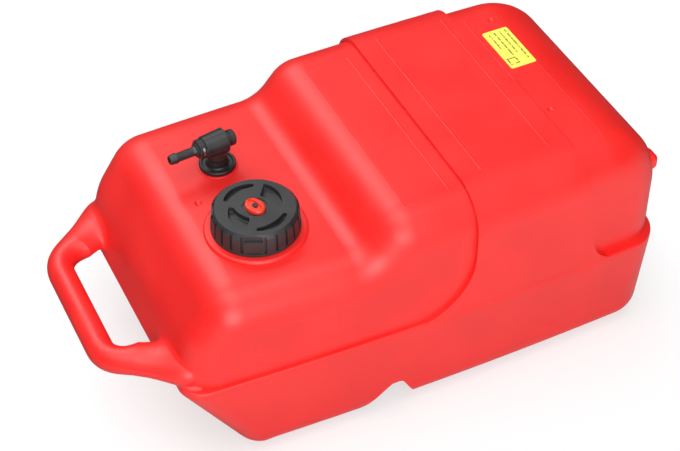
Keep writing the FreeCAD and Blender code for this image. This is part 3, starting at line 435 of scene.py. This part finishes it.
def handle_blends():
    """Fillets from the arms into the nose, kept only where they stand over the moulded wall."""
    wall = nodes["tank_body"].data
    block = bpy.data.objects.new("handle_block", cut_block(wall))
    bpy.context.scene.collection.objects.link(block)
    even = block.modifiers.new("even_mesh", "REMESH")
    even.mode = "VOXEL"
    even.voxel_size = BLEND_VOXEL
    mesh = bpy.data.meshes.new_from_object(block.evaluated_get(bpy.context.evaluated_depsgraph_get()))
    bpy.data.objects.remove(block)
    count = len(mesh.vertices)
    places = np.empty(count * 3)
    mesh.vertices.foreach_get("co", places)
    places = places.reshape(-1, 3)
    ends = np.empty(len(mesh.edges) * 2, dtype=np.int64)
    mesh.edges.foreach_get("vertices", ends)
    first, second = ends.reshape(-1, 2).T
    joined = np.maximum(np.bincount(ends, minlength=count), 1)
    x, y, z = places.T
    share = ramp(x, -0.180, -0.192) * ramp(z, 0.084, 0.094) * ramp(z, 0.156, 0.146)
    share *= ramp(np.abs(y), 0.124, 0.114) * BLEND_RATE
    for _ in range(BLEND_ROUNDS):
        for axis in range(3):
            line = places[:, axis]
            total = np.bincount(first, line[second], count) + np.bincount(second, line[first], count)
            places[:, axis] = line + share * (total / joined - line)
    mesh.vertices.foreach_set("co", places.ravel())
    mesh.update()
    normals = np.empty(count * 3)
    mesh.vertices.foreach_get("normal", normals)
    places -= normals.reshape(-1, 3) * BLEND_SINK
    mesh.vertices.foreach_set("co", places.ravel())
    finder = BVHTree.FromPolygons([v.co for v in wall.vertices], [tuple(f.vertices) for f in wall.polygons])
    outside = np.zeros(count, dtype=bool)
    for i, place in enumerate(places):
        if share[i] > 0.01:
            spot, normal, _, _ = finder.find_nearest(place)
            outside[i] = (Vector(place) - spot).dot(normal) > -BLEND_COVER
    work = bmesh.new()
    work.from_mesh(mesh)
    work.faces.ensure_lookup_table()
    hidden = [f for f in work.faces if not any(outside[v.index] for v in f.verts)]
    bmesh.ops.delete(work, geom=hidden, context="FACES")
    for face in work.faces:
        face.smooth = True
    work.to_mesh(mesh)
    work.free()
    mesh.name = "handle_blends"
    mesh.materials.clear()
    mesh.materials.append(MATERIALS["tank_body"])
    blends = bpy.data.objects.new("handle_blends", mesh)
    bpy.context.scene.collection.objects.link(blends)
    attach(blends, "tank")


handle_blends()


# Studio

FLOOR_ALBEDO = 0.42
FLOOR_GLOW = 0.57
# Painted light pool: floor brightness as seen in glossy reflections, on the near side and on the far side
PAINTED_POOL_NEAR = 0.95
PAINTED_POOL_FAR = 0.10
WORLD_BASE = 0.16
WORLD_ABOVE = 0.70
WORLD_NEAR = 1.15
WORLD_LEFT = 0.20
WORLD_RIGHT = 0.00
LAMPS = (
    ("key_softbox", (-0.3, 1.5, 1.9), (0.0, 0.0, 0.1), (1.2, 1.0), 15.0),
    ("top_softbox", (-0.35, -0.25, 2.2), (0.0, 0.0, 0.1), (1.8, 1.4), 21.0),
    ("near_softbox", (-0.8, -2.1, 1.0), (0.0, 0.0, 0.12), (1.4, 1.2), 25.0),
)


def studio_floor():
    half = 3.0
    mesh = bpy.data.meshes.new("studio_floor")
    corners = [(-half, -half, 0), (half, -half, 0), (half, half, 0), (-half, half, 0)]
    mesh.from_pydata(corners, [], [(0, 1, 2, 3)])
    floor = bpy.data.objects.new("studio_floor", mesh)
    bpy.context.scene.collection.objects.link(floor)
    floor.location.z = cad_low.z - 0.0003
    material = bpy.data.materials.new("floor_white")
    material.use_nodes = True
    t = Tree(material.node_tree)
    shader = material.node_tree.nodes["Principled BSDF"]
    shader.inputs["Roughness"].default_value = 0.9
    shader.inputs["Specular IOR Level"].default_value = 0.1
    out = [n for n in material.node_tree.nodes if n.type == "OUTPUT_MATERIAL"][0]
    glow = t.add("ShaderNodeEmission")
    glow.inputs["Color"].default_value = (1.0, 1.0, 1.0, 1.0)
    rays = t.add("ShaderNodeLightPath")
    t.link(t.math("MULTIPLY", rays.outputs["Is Camera Ray"], FLOOR_GLOW), glow.inputs["Strength"])
    # Painted light pool: for glossy rays only, the floor colour is brighter on the near side and darker on
    # the far side, a painted reflection in the tank's sheen
    axes = t.add("ShaderNodeSeparateXYZ")
    t.link(t.add("ShaderNodeTexCoord").outputs["Object"], axes.inputs[0])
    painted_pool = t.remap(axes.outputs[1], 0.10, -0.30, PAINTED_POOL_FAR, PAINTED_POOL_NEAR)
    lift = t.math("MULTIPLY", rays.outputs["Is Glossy Ray"], t.math("SUBTRACT", painted_pool, FLOOR_ALBEDO))
    painted_pool_albedo = t.math("ADD", lift, FLOOR_ALBEDO)
    shade = t.add("ShaderNodeCombineColor")
    for name in ("Red", "Green", "Blue"):
        t.link(painted_pool_albedo, shade.inputs[name])
    t.link(shade.outputs[0], shader.inputs["Base Color"])
    both = t.add("ShaderNodeAddShader")
    t.link(shader.outputs[0], both.inputs[0])
    t.link(glow.outputs[0], both.inputs[1])
    t.link(both.outputs[0], out.inputs["Surface"])
    mesh.materials.append(material)


def soft_lamp(name, place, aim, size, power):
    lamp = bpy.data.lights.new(name, "AREA")
    lamp.shape = "RECTANGLE"
    lamp.size, lamp.size_y = size
    lamp.energy = power
    holder = bpy.data.objects.new(name, lamp)
    bpy.context.scene.collection.objects.link(holder)
    holder.location = place
    holder.rotation_mode = "QUATERNION"
    holder.rotation_quaternion = (Vector(aim) - Vector(place)).to_track_quat("-Z", "Y")


def studio_light():
    """White tent: bright above and on the near side, darker towards both ends of the tank."""
    world = bpy.data.worlds.new("studio_world")
    bpy.context.scene.world = world
    world.use_nodes = True
    t = Tree(world.node_tree)
    back = world.node_tree.nodes["Background"]
    back.inputs["Color"].default_value = (1.0, 1.0, 1.0, 1.0)
    axes = t.add("ShaderNodeSeparateXYZ")
    t.link(t.add("ShaderNodeTexCoord").outputs["Generated"], axes.inputs[0])
    x, y, z = axes.outputs
    above = t.remap(z, 0.1, 0.9, 0.0, WORLD_ABOVE)
    near = t.remap(y, -0.15, -0.85, 0.0, WORLD_NEAR)
    left = t.remap(x, -0.30, -0.80, 1.0, WORLD_LEFT)
    right = t.remap(x, 0.10, 0.60, 1.0, WORLD_RIGHT)
    light = t.math("ADD", WORLD_BASE, t.math("ADD", above, near))
    strength = t.math("MULTIPLY", t.math("MULTIPLY", left, right), light)
    t.link(strength, back.inputs["Strength"])
    for lamp in LAMPS:
        soft_lamp(*lamp)


PHOTO_WIDTH = 680.0
FOCAL_PIXELS = 1722.285
SENSOR_WIDTH = 36.0
CAMERA_PLACE = Vector((-0.489204, -1.015716, 1.192584))
CAMERA_HEADING = math.radians(25.6695)
CAMERA_TILT = math.radians(43.8600)
CAMERA_ROLL = math.radians(0.0833)


def photo_camera():
    """Camera fitted to the photograph: place, heading, tilt and focal length."""
    heading, tilt, roll = CAMERA_HEADING, CAMERA_TILT, CAMERA_ROLL
    ahead = Vector((math.sin(heading) * math.cos(tilt), math.cos(heading) * math.cos(tilt), -math.sin(tilt)))
    right = Vector((math.cos(heading), -math.sin(heading), 0.0))
    up = right.cross(ahead)
    right, up = math.cos(roll) * right + math.sin(roll) * up, -math.sin(roll) * right + math.cos(roll) * up
    camera = bpy.data.cameras.new("photo_camera")
    camera.sensor_width = SENSOR_WIDTH
    camera.lens = FOCAL_PIXELS * SENSOR_WIDTH / PHOTO_WIDTH
    camera.clip_start, camera.clip_end = 0.05, 30.0
    holder = bpy.data.objects.new("photo_camera", camera)
    bpy.context.scene.collection.objects.link(holder)
    turn = Matrix((right, up, -ahead)).transposed().to_4x4()
    holder.matrix_world = Matrix.Translation(CAMERA_PLACE) @ turn
    bpy.context.scene.camera = holder


studio_floor()
studio_light()
photo_camera()
bpy.context.scene.view_settings.view_transform = "Standard"
